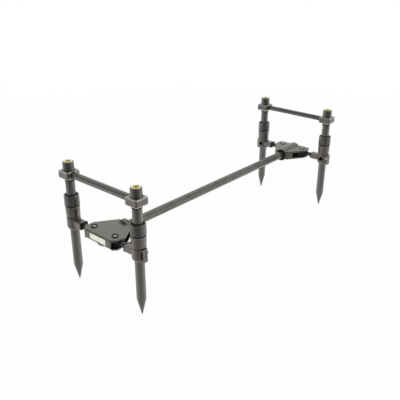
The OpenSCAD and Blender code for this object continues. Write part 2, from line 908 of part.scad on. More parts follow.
at_far() turned_over() ridged_shell();  // far_hub_top
at_far() turned_over() flat_shell();  // far_hub_bottom
at_far() bar_bush();  // far_bar_bush
at_far() turned_over() hub_inserts();  // far_hub_inserts
at_far() turned_over() hub_screws();  // far_hub_screws
at_far() arm_gaskets();  // far_arm_gaskets
at_far() mid_seals();  // far_mid_seals
at_far() collets();  // far_collets
at_far() ear_screws();  // far_ear_screws
at_far() grub_screws();  // far_grub_screws
at_far() leg_plugs();  // far_leg_plugs
at_far() o_rings();  // far_o_rings
at_far() buzz_bar(far_buzz_d);  // far_buzz_bar
at_far() stub();  // far_left_stub
at_far() mirror([1, 0, 0]) stub();  // far_right_stub
at_far() on_right() t_block();  // far_left_t_block
at_far() on_left() t_block();  // far_right_t_block
at_far() on_right() leg();  // far_left_leg
at_far() on_left() leg();  // far_right_leg
at_far() on_right() end_block(far_buzz_d);  // far_left_block
at_far() on_left() end_block(far_buzz_d);  // far_right_block
at_far() on_right() lock_nut();  // far_left_nut
at_far() on_left() lock_nut();  // far_right_nut
at_far() on_right() wiper();  // far_left_wiper
at_far() on_left() wiper();  // far_right_wiper
at_far() on_right() knob();  // far_left_knob
at_far() on_left() knob();  // far_right_knob
at_far() on_right() brass();  // far_left_brass
at_far() on_left() brass();  // far_right_brass
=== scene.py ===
"""Looks of the rod pod: fine edges, threads, finishes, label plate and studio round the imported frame."""

import json
import logging
import math
from dataclasses import dataclass, field
from enum import Enum
from typing import Callable, Mapping, Optional, Sequence, Union

import bmesh
import bpy
from mathutils import Matrix, Vector

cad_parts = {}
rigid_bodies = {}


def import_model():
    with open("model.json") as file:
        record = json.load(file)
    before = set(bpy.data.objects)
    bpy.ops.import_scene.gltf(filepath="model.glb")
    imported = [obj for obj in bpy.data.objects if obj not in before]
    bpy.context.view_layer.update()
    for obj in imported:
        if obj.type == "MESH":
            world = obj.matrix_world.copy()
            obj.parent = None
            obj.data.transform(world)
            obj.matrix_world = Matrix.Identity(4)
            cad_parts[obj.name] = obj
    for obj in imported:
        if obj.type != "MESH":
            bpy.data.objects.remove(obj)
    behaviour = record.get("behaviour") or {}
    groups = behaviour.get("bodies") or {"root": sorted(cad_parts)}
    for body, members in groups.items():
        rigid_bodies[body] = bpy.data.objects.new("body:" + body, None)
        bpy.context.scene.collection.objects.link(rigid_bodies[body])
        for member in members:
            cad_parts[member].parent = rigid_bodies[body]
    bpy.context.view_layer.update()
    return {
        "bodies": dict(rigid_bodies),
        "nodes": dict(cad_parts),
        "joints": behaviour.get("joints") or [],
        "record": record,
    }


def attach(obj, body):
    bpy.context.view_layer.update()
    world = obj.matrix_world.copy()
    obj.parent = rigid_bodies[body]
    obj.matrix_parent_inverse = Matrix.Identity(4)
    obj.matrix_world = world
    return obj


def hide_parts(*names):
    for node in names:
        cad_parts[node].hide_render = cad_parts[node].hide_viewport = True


LOG = logging.getLogger("rod_pod")
MM = 0.001
# Face layer of softened edges, lightened partly as worn metal and partly as a painted highlight.
FULL_TURN = 2 * math.pi
# Face layer that marks where shade is painted into the colour.
EDGE_WEAR_AND_GLINT = "rim"
PAINTED_SHADE = "recess"
WHITE = (1.0, 1.0, 1.0, 1.0)

BMesh = bmesh.types.BMesh
Tree = bpy.types.NodeTree
Socket = bpy.types.NodeSocket
Colour = tuple[float, float, float]
Point = tuple[float, float, float]
Span = tuple[float, float]
Profile = Sequence[tuple[float, float]]
PlaceTest = Callable[[Vector], bool]
Term = Union[float, Socket]
Inputs = Mapping[Union[int, str], object]


class End(Enum):
    """The two ends of the stand, with the sign of their Y."""

    NEAR = -1
    FAR = 1

    @property
    def word(self) -> str:
        """The end's word in node names."""
        return self.name.lower()


class Side(Enum):
    """The two sides of the stand, with the sign of their X."""

    LEFT = -1
    RIGHT = 1

    @property
    def word(self) -> str:
        """The side's word in node names."""
        return self.name.lower()


class Lay(Enum):
    """Direction of the fine marks in a surface, as scales of X, Y and Z."""

    DRAWN_Z = (1400.0, 1400.0, 22.0)
    DRAWN_X = (22.0, 1400.0, 1400.0)
    STREAKED_Y = (480.0, 2.5, 480.0)
    TURNED_Z = (60.0, 60.0, 2600.0)
    CAST = (900.0, 900.0, 900.0)
    MOULDED = (420.0, 420.0, 420.0)


class Axis(Enum):
    """The way a turned piece's own Z axis is laid in the frame."""

    Z = Matrix.Identity(4)
    X = Matrix.Rotation(math.pi / 2, 4, "Y")
    Y = Matrix.Rotation(-math.pi / 2, 4, "X")


class Kind(Enum):
    """Kinds of socket on a node group."""

    VECTOR = "NodeSocketVector"
    COLOUR = "NodeSocketColor"
    NUMBER = "NodeSocketFloat"


@dataclass(frozen=True)
class Layout:
    """Places that several sub-assemblies share, in millimetres."""

    post_y: float = 280.0
    leg_x: float = 81.0
    leg_r: float = 8.0
    bar_z: float = 114.0

    def hub(self, end: End) -> Vector:
        """Gives the middle of an end's hub, on the bar's axis."""
        return Vector((0, end.value * self.post_y, self.bar_z))

    def leg(self, end: End, side: Side) -> Vector:
        """Gives the foot of a leg's axis."""
        return Vector((side.value * self.leg_x, end.value * self.post_y, 0))

    def off_post(self, point: Vector, end: End, x: float) -> float:
        """Gives a point's distance from the nearer of the upright axes at plus and minus x."""
        return math.hypot(abs(point.x) - x, point.y - end.value * self.post_y)


LAYOUT = Layout()


def fill(tree: Tree, node: bpy.types.Node, inputs: Inputs) -> None:
    """Links or sets the inputs of a node.

    Args:
        tree: The node tree that holds the node.
        node: The node.
        inputs: A socket to link or a value to set, by the input's name or number.
    """
    for key, given in inputs.items():
        if isinstance(given, Socket):
            tree.links.new(given, node.inputs[key])
        else:
            node.inputs[key].default_value = given


def add_node(tree: Tree, kind: str, inputs: Optional[Inputs] = None, **settings: object) -> bpy.types.Node:
    """Adds a node, sets its properties and fills its inputs.

    Args:
        tree: The node tree that takes the node.
        kind: The node's type name.
        inputs: What its inputs take.
        settings: Properties of the node by name.

    Returns:
        The new node.
    """
    made = tree.nodes.new(kind)
    for name, value in settings.items():
        setattr(made, name, value)
    fill(tree, made, inputs or {})
    return made


def add_math(tree: Tree, operation: str, *terms: Term, clamp: bool = False) -> Socket:
    """Adds a Math node.

    Args:
        tree: The node tree that takes the node.
        operation: The node's operation.
        terms: Its inputs in order, each a socket or a number.
        clamp: Whether the result stays between 0 and 1.

    Returns:
        The socket of its result.
    """
    inputs = dict(enumerate(terms))
    return add_node(tree, "ShaderNodeMath", inputs, operation=operation, use_clamp=clamp).outputs[0]


def add_ramp(tree: Tree, value: Socket, given: Span, result: Span, smooth: bool = False) -> Socket:
    """Adds a ramp from one span of values to another.

    Args:
        tree: The node tree that takes the node.
        value: The socket of the value.
        given: The span that the value runs through.
        result: The span that the result runs through.
        smooth: Whether the ramp eases in and out.

    Returns:
        The socket of its result.
    """
    inputs = {
        "Value": value,
        "From Min": given[0], "From Max": given[1],
        "To Min": result[0], "To Max": result[1],
    }
    kind = "SMOOTHSTEP" if smooth else "LINEAR"
    return add_node(tree, "ShaderNodeMapRange", inputs, interpolation_type=kind).outputs["Result"]


def add_noise(tree: Tree, place: Socket, scale: float, detail: float) -> Socket:
    """Adds a noise texture.

    Args:
        tree: The node tree that takes the node.
        place: The socket of the coordinates.
        scale: The noise's scale.
        detail: The noise's detail.

    Returns:
        The socket of its value.
    """
    inputs = {"Vector": place, "Scale": scale, "Detail": detail}
    return add_node(tree, "ShaderNodeTexNoise", inputs).outputs["Fac"]


def add_dot(tree: Tree, vector: Socket, direction: Point) -> Socket:
    """Adds the dot product of a vector and a fixed direction, and gives its socket."""
    made = add_node(tree, "ShaderNodeVectorMath", {0: vector, 1: direction}, operation="DOT_PRODUCT")
    return made.outputs["Value"]


def mix_colours(tree: Tree, share: Socket, first: object, second: object) -> Socket:
    """Mixes two colours, each a socket or a value, and gives the mix's socket."""
    made = add_node(tree, "ShaderNodeMix", {0: share, 6: first, 7: second}, data_type="RGBA")
    return made.outputs[2]


def mix_shaders(tree: Tree, share: Socket, first: Socket, second: Socket) -> Socket:
    """Mixes two shaders and gives the mix's socket."""
    return add_node(tree, "ShaderNodeMixShader", {0: share, 1: first, 2: second}).outputs[0]


def new_group(
    name: str, inputs: Mapping[str, Kind], outputs: Mapping[str, Kind]
) -> tuple[Tree, bpy.types.Node, bpy.types.Node]:
    """Starts a shader node group with named sockets.

    Args:
        name: The group's name.
        inputs: Kind of each input by its name.
        outputs: Kind of each output by its name.

    Returns:
        The group's tree, its input node and its output node.
    """
    tree = bpy.data.node_groups.new(name, "ShaderNodeTree")
    for way, sockets in (("INPUT", inputs), ("OUTPUT", outputs)):
        for label, kind in sockets.items():
            tree.interface.new_socket(label, in_out=way, socket_type=kind.value)
    return tree, tree.nodes.new("NodeGroupInput"), tree.nodes.new("NodeGroupOutput")


@dataclass(frozen=True)
class FineGrain:
    """The effect that gives a surface its fine marks, slow clouding and small height."""

    mark_detail: float = 3.0
    cloud_scale: float = 55.0
    cloud_detail: float = 2.0
    cloud_share: float = 0.6
    middle: float = 0.8

    def build(self) -> Tree:
        """Builds the node group.

        Returns:
            The group's tree.
        """
        tree, start, end = new_group(
            "fine_grain",
            {
                "Vector": Kind.VECTOR,
                "Place": Kind.VECTOR,
                "Colour": Kind.COLOUR,
                "Spread": Kind.NUMBER,
                "Roughness": Kind.NUMBER,
                "Roughness spread": Kind.NUMBER,
            },
            {"Colour": Kind.COLOUR, "Roughness": Kind.NUMBER, "Height": Kind.NUMBER},
        )
        given = start.outputs
        marks = add_noise(tree, given["Vector"], 1.0, self.mark_detail)
        clouds = add_noise(tree, given["Place"], self.cloud_scale, self.cloud_detail)
        both = add_math(tree, "MULTIPLY_ADD", clouds, self.cloud_share, marks)
        centred = add_math(tree, "SUBTRACT", both, self.middle)
        gain = add_math(tree, "MULTIPLY_ADD", centred, given["Spread"], 1.0)
        tinted = {0: given["Colour"], "Scale": gain}
        tone = add_node(tree, "ShaderNodeVectorMath", tinted, operation="SCALE")
        rough = add_math(
            tree, "MULTIPLY_ADD", centred, given["Roughness spread"], given["Roughness"], clamp=True
        )
        fill(tree, end, {"Colour": tone.outputs[0], "Roughness": rough, "Height": marks})
        return tree


@dataclass(frozen=True)
class RubbedEdge:
    """The effect that lightens rounded edges, partly as worn bare metal and partly as a painted highlight.
    """

    scale: float = 260.0
    detail: float = 2.0
    noise: Span = (0.3, 0.7)
    levels: Span = (0.35, 1.0)

    def build(self) -> Tree:
        """Builds the node group.

        Returns:
            The group's tree.
        """
        tree, start, end = new_group(
            "rubbed_edge",
            {
                "Place": Kind.VECTOR,
                "Colour": Kind.COLOUR,
                "Bare": Kind.COLOUR,
                "Share": Kind.NUMBER,
                "Rim": Kind.NUMBER,
            },
            {"Colour": Kind.COLOUR},
        )
        given = start.outputs
        noise = add_noise(tree, given["Place"], self.scale, self.detail)
        patches = add_ramp(tree, noise, self.noise, self.levels)
        worn = add_math(tree, "MULTIPLY", patches, given["Rim"])
        share = add_math(tree, "MULTIPLY", worn, given["Share"], clamp=True)
        fill(tree, end, {"Colour": mix_colours(tree, share, given["Colour"], given["Bare"])})
        return tree


@dataclass(frozen=True)
class DarkRecess:
    """The effect that paints shade into grooves, flutes, seams and screw recesses by darkening the colour.
    """

    scale: float = 700.0
    detail: float = 2.0
    noise: Span = (0.3, 0.7)
    levels: Span = (0.86, 0.97)
    dark: tuple[float, float, float, float] = (0.004, 0.004, 0.004, 1.0)

    def build(self) -> Tree:
        """Builds the node group.

        Returns:
            The group's tree.
        """
        tree, start, end = new_group(
            "dark_recess",
            {"Place": Kind.VECTOR, "Colour": Kind.COLOUR, "Recess": Kind.NUMBER},
            {"Colour": Kind.COLOUR},
        )
        given = start.outputs
        noise = add_noise(tree, given["Place"], self.scale, self.detail)
        patches = add_ramp(tree, noise, self.noise, self.levels)
        share = add_math(tree, "MULTIPLY", patches, given["Recess"], clamp=True)
        fill(tree, end, {"Colour": mix_colours(tree, share, given["Colour"], self.dark)})
        return tree


@dataclass(frozen=True)
class Effects:
    """The shared node groups."""

    grain: Tree
    edge: Tree
    recess: Tree

    @staticmethod
    def build() -> "Effects":
        """Builds each group once."""
        return Effects(FineGrain().build(), RubbedEdge().build(), DarkRecess().build())


@dataclass(frozen=True)
class Finish:
    """One surface finish: colour, gloss, fine marks, edges of worn metal and painted highlight, painted
    shade.
    """

    name: str
    slot: str
    colour: Colour
    metallic: float
    roughness: float
    lay: Lay
    spread: float = 0.25
    roughness_spread: float = 0.15
    bump: float = 0.02
    bump_height: float = 0.2
    bare: Colour = (0.30, 0.29, 0.28)
    share: float = 0.35
    coat: float = 0.0
    coat_roughness: float = 0.25
    specular: float = 0.5

    def material(self, effects: Effects) -> bpy.types.Material:
        """Makes the finish's material, once.

        Args:
            effects: The shared node groups.

        Returns:
            The material.
        """
        known = bpy.data.materials.get(self.name)
        if known is not None:
            return known
        made = bpy.data.materials.new(self.name)
        made.use_nodes = True
        tree = made.node_tree
        place = add_node(tree, "ShaderNodeTexCoord").outputs["Object"]
        lay = add_node(tree, "ShaderNodeMapping", {"Vector": place, "Scale": self.lay.value})
        grain = add_node(
            tree,
            "ShaderNodeGroup",
            {
                "Vector": lay.outputs["Vector"],
                "Place": place,
                "Colour": (*self.colour, 1.0),
                "Spread": self.spread,
                "Roughness": self.roughness,
                "Roughness spread": self.roughness_spread,
            },
            node_tree=effects.grain,
        )
        # Rounded edges lightened, partly as worn bare metal and partly as a painted highlight.
        edge = add_node(
            tree,
            "ShaderNodeGroup",
            {
                "Place": place,
                "Colour": grain.outputs["Colour"],
                "Bare": (*self.bare, 1.0),
                "Share": self.share,
                "Rim": add_node(tree, "ShaderNodeAttribute", attribute_name=EDGE_WEAR_AND_GLINT).outputs["Fac"],
            },
            node_tree=effects.edge,
        )
        # Painted shade: darkens the faces that shade() marks in recesses, grooves, flutes and seams.
        recess = add_node(
            tree,
            "ShaderNodeGroup",
            {
                "Place": place,
                "Colour": edge.outputs["Colour"],
                "Recess": add_node(tree, "ShaderNodeAttribute", attribute_name=PAINTED_SHADE).outputs["Fac"],
            },
            node_tree=effects.recess,
        )
        bump = add_node(
            tree,
            "ShaderNodeBump",
            {"Strength": self.bump, "Distance": self.bump_height * MM, "Height": grain.outputs["Height"]},
        )
        fill(
            tree,
            tree.nodes["Principled BSDF"],
            {
                "Base Color": recess.outputs["Colour"],
                "Roughness": grain.outputs["Roughness"],
                "Normal": bump.outputs["Normal"],
                "Metallic": self.metallic,
                "Coat Weight": self.coat,
                "Coat Roughness": self.coat_roughness,
                "Specular IOR Level": self.specular,
            },
        )
        return made


@dataclass(frozen=True)
class Finishes:
    """Every finish of the stand."""

    # Each bare colour and share lightens the rubbed edges: partly worn metal, partly a painted highlight.
    hub: Finish = Finish(
        "hub_gunmetal", "hub_shell", (0.190, 0.181, 0.158), 0.85, 0.36, Lay.CAST, bump=0.10,
    )
    block: Finish = Finish(
        "block_gunmetal", "cast_block", (0.188, 0.175, 0.165), 0.85, 0.30, Lay.CAST, bump=0.06,
        bare=(0.82, 0.79, 0.76), share=0.75, coat=0.1,
    )
    collar: Finish = Finish(
        "collar_gunmetal", "turned_collar", (0.162, 0.153, 0.143), 0.85, 0.28, Lay.TURNED_Z,
        bare=(0.75, 0.72, 0.69), share=0.5, coat=0.1,
    )
    leg: Finish = Finish(
        "leg_gunmetal", "leg_tube", (0.205, 0.195, 0.182), 0.85, 0.28, Lay.DRAWN_Z, coat=0.1,
    )
    cross: Finish = Finish(
        "cross_bar_gunmetal", "leg_tube", (0.168, 0.159, 0.149), 0.85, 0.26, Lay.DRAWN_X, coat=0.1,
    )
    bar: Finish = Finish(
        "bar_gunmetal", "bar_tube", (0.200, 0.190, 0.174), 0.85, 0.30, Lay.STREAKED_Y,
        spread=1.4, coat=0.1,
    )
    stub: Finish = Finish("stub_satin", "bare_aluminium", (0.13, 0.125, 0.118), 0.9, 0.32, Lay.DRAWN_X)
    plug: Finish = Finish("plug_satin", "bare_aluminium", (0.20, 0.195, 0.19), 0.9, 0.36, Lay.TURNED_Z)
    plastic: Finish = Finish(
        "black_plastic", "black_plastic", (0.006, 0.006, 0.006), 0.0, 0.5, Lay.MOULDED,
        bump=0.05, bare=(0.02, 0.02, 0.02), share=0.3, specular=0.2,
    )
    rubber: Finish = Finish(
        "black_rubber", "black_rubber", (0.004, 0.004, 0.004), 0.0, 0.65, Lay.MOULDED,
        bump=0.08, bare=(0.012, 0.012, 0.012), share=0.2, specular=0.12,
    )
    steel: Finish = Finish(
        "bright_steel", "bright_steel", (0.80, 0.79, 0.77), 1.0, 0.2, Lay.TURNED_Z,
        spread=0.12, bare=(0.95, 0.95, 0.93),
    )
    clamp_steel: Finish = Finish(
        "clamp_steel", "dark_steel", (0.62, 0.61, 0.58), 1.0, 0.25, Lay.TURNED_Z,
        spread=0.2, bare=(0.85, 0.85, 0.83),
    )
    # Near-black set screws: partly their own black oxide, partly painted shade of the recess round them.
    dark_steel: Finish = Finish(
        "black_steel", "dark_steel", (0.005, 0.005, 0.005), 0.0, 0.6, Lay.TURNED_Z, spread=0.2,
        bare=(0.012, 0.012, 0.012), specular=0.12,
    )
    brass: Finish = Finish(
        "turned_brass", "brass", (0.87, 0.81, 0.45), 1.0, 0.22, Lay.TURNED_Z,
        spread=0.18, bare=(0.95, 0.92, 0.66), share=0.5,
    )
    bore: Finish = Finish(
        "bore_brass", "brass", (0.66, 0.61, 0.25), 0.35, 0.4, Lay.TURNED_Z,
        spread=0.25, bare=(0.8, 0.75, 0.4),
    )
    label: Finish = Finish(
        "label_cream", "bright_steel", (0.92, 0.91, 0.79), 0.0, 0.4, Lay.DRAWN_X,
        spread=0.06, bare=(0.92, 0.91, 0.82), share=0.4,
    )


@dataclass
class Workshop:
    """Makes pieces from bmeshes, places them on their bodies and gives them their finish."""

    frame: dict
    effects: Effects
    finishes: Finishes
    merge: float = 0.012
    flat_angle: float = 0.6
    soft_angle: float = 38.0
    sharp_angle: float = 36.0
    body_of: dict[str, str] = field(init=False)

    def __post_init__(self) -> None:
        """Notes which body holds each node."""
        bodies = self.frame["record"]["behaviour"]["bodies"]
        self.body_of = {node: body for body, nodes in bodies.items() for node in nodes}

    def paint(self, node: str, finish: Finish) -> None:
        """Gives a CAD node that stays in sight its material.

        Args:
            node: The CAD node.
            finish: The node's finish.
        """
        shown = self.frame["nodes"][node]
        shown.data.materials.clear()
        shown.data.materials.append(finish.material(self.effects))
        LOG.info("%s keeps its solid, finish %s", node, finish.name)

    def piece(self, name: str, bm: BMesh, finish: Finish, node: str, instead: bool = True) -> None:
        """Turns a bmesh into a piece that rides on a CAD node's body.

        Args:
            name: The piece's name.
            bm: The finished bmesh, in metres and in place; it is freed.
            finish: The piece's finish.
            node: The CAD node whose body carries the piece.
            instead: Whether the piece stands for the node.
        """
        mark_sharp(bm, self.sharp_angle)
        mesh = bpy.data.meshes.new(name)
        bm.to_mesh(mesh)
        bm.free()
        mesh.materials.append(finish.material(self.effects))
        made = bpy.data.objects.new(name, mesh)
        bpy.context.scene.collection.objects.link(made)
        even = made.modifiers.new("even_shading", "WEIGHTED_NORMAL")
        even.keep_sharp = True
        body = self.body_of[node]
        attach(made, body)
        if instead:
            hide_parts(node)
        LOG.info("%s: %d faces on %s", name, len(mesh.polygons), body)

    def refine(
        self, name: str, node: str, finish: Finish, soft: float, deep: Optional[PlaceTest] = None
    ) -> None:
        """Stands a copy of a CAD node with softened edges in its place.

        Args:
            name: The piece's name.
            node: The CAD node.
            finish: The piece's finish.
            soft: Width of the softened edges in millimetres.
            deep: Tells whether a point in millimetres gets painted shade, as in a dark recess.
        """
        bm = bmesh.new()
        bm.from_mesh(self.frame["nodes"][node].data)
        bmesh.ops.remove_doubles(bm, verts=bm.verts, dist=self.merge * MM)
        bmesh.ops.dissolve_limit(
            bm, angle_limit=math.radians(self.flat_angle), verts=bm.verts, edges=bm.edges,
            use_dissolve_boundaries=False,
        )
        soften(bm, soft, self.soft_angle)
        if deep is not None:
            shade(bm, deep)
        self.piece(name, bm, finish, node)


def mark_sharp(bm: BMesh, angle: float) -> None:
    """Shades a bmesh smooth, apart from its sharp edges.

    Args:
        bm: The bmesh.
        angle: Least angle between a sharp edge's faces, in degrees.
    """
    limit = math.radians(angle)
    for face in bm.faces:
        face.smooth = True
    for edge in bm.edges:
        edge.smooth = edge.is_manifold and edge.calc_face_angle() < limit


def soften(bm: BMesh, width: float, angle: float, segments: int = 3) -> None:
    """Bevels the outward edges of a bmesh and marks the new faces as rim, for worn metal and a painted
    highlight.

    Args:
        bm: The bmesh.
        width: Width of the bevel in millimetres.
        angle: Least angle between an edge's faces, in degrees.
        segments: Number of steps across the bevel.
    """
    rim = bm.faces.layers.float.new(EDGE_WEAR_AND_GLINT)
    limit = math.radians(angle)
    edges = [e for e in bm.edges if e.is_manifold and e.is_convex and e.calc_face_angle() > limit]
    if not edges:
        return
    made = bmesh.ops.bevel(
        bm, geom=edges, offset=width * MM, offset_type="OFFSET", segments=segments, profile=0.5,
        affect="EDGES", clamp_overlap=False, material=-1,
    )
    for face in made["faces"]:
        face[rim] = 1.0


def shade(bm: BMesh, deep: PlaceTest, level: float = 1.0) -> None:
    """Marks the faces of a bmesh that get painted shade, in a recess, groove, flute or seam.

    Args:
        bm: The bmesh, in metres.
        deep: Tells whether a point in millimetres gets the painted shade.
        level: How dark the painted shade is, from 0 to 1.
    """
    recess = bm.faces.layers.float.new(PAINTED_SHADE)
    for face in bm.faces:
        face[recess] = level * deep(face.calc_center_median() / MM)


def turned(
    profile: Profile, soft: float, steps: int = 72, merge: float = 0.001, angle: float = 20.0
) -> BMesh:
    """Spins a closed profile about Z.

    Args:
        profile: Radius and height of each corner, in millimetres.
        soft: Width of the softened edges in millimetres; 0 leaves them sharp.
        steps: Number of steps in the turn.
        merge: Distance within which corners are merged, in millimetres.
        angle: Least angle at a softened edge, in degrees.

    Returns:
        The turned bmesh, in metres.
    """
    bm = bmesh.new()
    corners = [bm.verts.new((r * MM, 0.0, z * MM)) for r, z in profile]
    loop = [bm.edges.new((a, b)) for a, b in zip(corners, corners[1:] + corners[:1])]
    bmesh.ops.spin(
        bm, geom=corners + loop, cent=(0, 0, 0), axis=(0, 0, 1), angle=FULL_TURN, steps=steps,
        use_merge=True,
    )
    bmesh.ops.remove_doubles(bm, verts=bm.verts, dist=merge * MM)
    bmesh.ops.recalc_face_normals(bm, faces=bm.faces)
    if soft > 0:
        soften(bm, soft, angle)
    return bm


def laid(bm: BMesh, axis: Axis, place: Vector) -> BMesh:
    """Turns a bmesh's Z axis onto a frame axis and moves it, with place in millimetres."""
    bmesh.ops.transform(bm, matrix=Matrix.Translation(place * MM) @ axis.value, verts=bm.verts)
    return bm


def gathered(parts: Sequence[BMesh]) -> BMesh:
    """Gathers several bmeshes into the first one.

    Args:
        parts: The bmeshes; all but the first are freed.

    Returns:
        The first bmesh with all the geometry.
    """
    whole = parts[0]
    for part in parts[1:]:
        mesh = bpy.data.meshes.new("part")
        part.to_mesh(mesh)
        part.free()
        whole.from_mesh(mesh)
        bpy.data.meshes.remove(mesh)
    return whole


@dataclass
class MainBar:
    """The long fluted bar."""

    half: float = 284.0
    out_r: float = 7.8
    wall: float = 1.6
    flutes: int = 8
    flute_depth: float = 0.35
    flute_r: float = 1.0
    flute_dark: float = 0.7
    dark_depths: Span = (0.7, 1.2)
    steps: int = 128

    def build(self, shop: Workshop) -> None:
        """Builds the bar as one drawn tube.

        Args:
            shop: The workshop that makes the piece.
        """
        bm = bmesh.new()
        rim = bmesh.ops.create_circle(bm, cap_ends=False, segments=self.steps, radius=self.out_r * MM)
        for corner in rim["verts"]:
            corner.co *= self.reach(math.atan2(corner.co.y, corner.co.x)) / self.out_r
        inner = (self.out_r - self.wall) * MM
        bmesh.ops.create_circle(bm, cap_ends=False, segments=self.steps, radius=inner)
        bmesh.ops.bridge_loops(bm, edges=bm.edges[:])
        drawn = bmesh.ops.extrude_face_region(bm, geom=bm.faces[:])
        corners = [g for g in drawn["geom"] if isinstance(g, bmesh.types.BMVert)]
        bmesh.ops.translate(bm, vec=(0.0, 0.0, 2 * self.half * MM), verts=corners)
        bmesh.ops.recalc_face_normals(bm, faces=bm.faces)
        bar = laid(bm, Axis.Y, Vector((0, -self.half, LAYOUT.bar_z)))
        # Painted shade at the bottoms of the flutes.
        shade(bar, self.in_flute, self.flute_dark)
        shop.piece("main_bar_tube", bar, shop.finishes.bar, "main_bar")

    def in_flute(self, point: Vector) -> bool:
        """Tells whether a point of the bar lies at the bottom of a flute, where shade is painted."""
        depth = self.out_r - math.hypot(point.x, point.z - LAYOUT.bar_z)
        return self.dark_depths[0] * self.flute_depth < depth < self.dark_depths[1] * self.flute_depth

    def reach(self, angle: float) -> float:
        """Finds the bar's radius at an angle, with its shallow flutes.

        Args:
            angle: The angle about the bar's axis, in radians.

        Returns:
            The radius in millimetres.
        """
        pitch = FULL_TURN / self.flutes
        off = (angle + pitch / 2) % pitch - pitch / 2
        centre = self.out_r + self.flute_r - self.flute_depth
        across = centre * math.sin(off)
        if abs(across) >= self.flute_r:
            return self.out_r
        return min(self.out_r, centre * math.cos(off) - math.sqrt(self.flute_r**2 - across**2))


@dataclass
class Hub:
    """One clamshell hub with its bush, inserts, stubs and screws."""

    end: End
    shell_soft: float = 0.35
    insert_soft: float = 0.3
    bolt_soft: float = 0.2
    screw_x: float = 26.0
    recess_r: float = 4.5
    recess_spare: float = 0.1
    bush_in: float = 38.5
    bush_out: float = 45.0
    bush_r: float = 11.3
    bush_bevel: float = 1.0
    bush_soft: float = 0.2
    bar_r: float = 7.82
    stub_in: float = 16.5
    stub_out: float = 71.34
    stub_r: float = 4.5
    stub_bevel: float = 0.8
    stub_soft: float = 0.15
    face_y: float = 296.5
    label_x: float = 2.0
    label_rise: float = 1.2
    label_width: float = 38.0
    label_height: float = 9.4
    label_t: float = 0.5
    label_sunk: float = 0.2
    label_corner: float = 1.2
    label_steps: int = 5
    label_soft: float = 0.15
    label_angle: float = 60.0

    def build(self, shop: Workshop) -> None:
        """Builds and dresses the hub's pieces.

        Args:
            shop: The workshop that makes the pieces.
        """
        end = self.end.word
        kinds = shop.finishes
        for part, half in (("upper", "top"), ("lower", "bottom")):
            name = f"{end}_hub_{part}_shell"
            # Painted shade in the recesses round the hub screws.
            shop.refine(name, f"{end}_hub_{half}", kinds.hub, self.shell_soft, self.in_screw_recess)
        shop.refine(f"{end}_hub_stub_inserts", f"{end}_hub_inserts", kinds.plastic, self.insert_soft)
        shop.refine(f"{end}_hub_bolts", f"{end}_hub_screws", kinds.steel, self.bolt_soft)
        self.build_bush(shop)
        for side in Side:
            self.build_stub(shop, side)
        if self.end is End.NEAR:
            self.build_label(shop)

    def in_screw_recess(self, point: Vector) -> bool:
        """Tells whether a point of a shell lies in the recess round a hub screw, where shade is painted.
        """
        return LAYOUT.off_post(point, self.end, self.screw_x) < self.recess_r + self.recess_spare

    def build_bush(self, shop: Workshop) -> None:
        """Builds the black bush round the bar.

        Args:
            shop: The workshop that makes the piece.
        """
        end = self.end.word
        profile = [
            (self.bar_r, self.bush_in), (self.bush_r, self.bush_in),
            (self.bush_r, self.bush_out), (self.bar_r + self.bush_bevel, self.bush_out),
            (self.bar_r, self.bush_out - self.bush_bevel),
        ]
        inward = [(r, -self.end.value * z) for r, z in profile]
        bush = laid(turned(inward, self.bush_soft), Axis.Y, LAYOUT.hub(self.end))
        shop.piece(f"{end}_bush_ring", bush, shop.finishes.plastic, f"{end}_bar_bush")

    def build_stub(self, shop: Workshop, side: Side) -> None:
        """Builds the round rod on one side.

        Args:
            shop: The workshop that makes the piece.
            side: The rod's side.
        """
        profile = [
            (0.0, self.stub_in), (self.stub_r, self.stub_in),
            (self.stub_r, self.stub_out - self.stub_bevel),
            (self.stub_r - self.stub_bevel, self.stub_out), (0.0, self.stub_out),
        ]
        outward = [(r, side.value * z) for r, z in profile]
        rod = laid(turned(outward, self.stub_soft), Axis.X, LAYOUT.hub(self.end))
        node = f"{self.end.word}_{side.word}_stub"
        shop.piece(f"{node}_rod", rod, shop.finishes.stub, node)

    def build_label(self, shop: Workshop) -> None:
        """Builds the bare plate on the front face.

        Args:
            shop: The workshop that makes the piece.
        """
        end = self.end.word
        bm = bmesh.new()
        bmesh.ops.create_cube(bm, size=1.0)
        size = Vector((self.label_width, self.label_t + self.label_sunk, self.label_height)) * MM
        bmesh.ops.scale(bm, vec=size, verts=bm.verts)
        corners = [e for e in bm.edges if abs(e.verts[0].co.y - e.verts[1].co.y) > size.y / 2]
        bmesh.ops.bevel(
            bm, geom=corners, offset=self.label_corner * MM, offset_type="OFFSET",
            segments=self.label_steps, profile=0.5, affect="EDGES", clamp_overlap=True, material=-1,
        )
        soften(bm, self.label_soft, self.label_angle)
        front = self.end.value * (self.face_y + self.label_t / 2 - self.label_sunk / 2)
        place = Vector((self.label_x, front, LAYOUT.bar_z + self.label_rise))
        bmesh.ops.translate(bm, vec=place * MM, verts=bm.verts)
        shop.piece(f"{end}_label_plate", bm, shop.finishes.label, f"{end}_hub_top", instead=False)


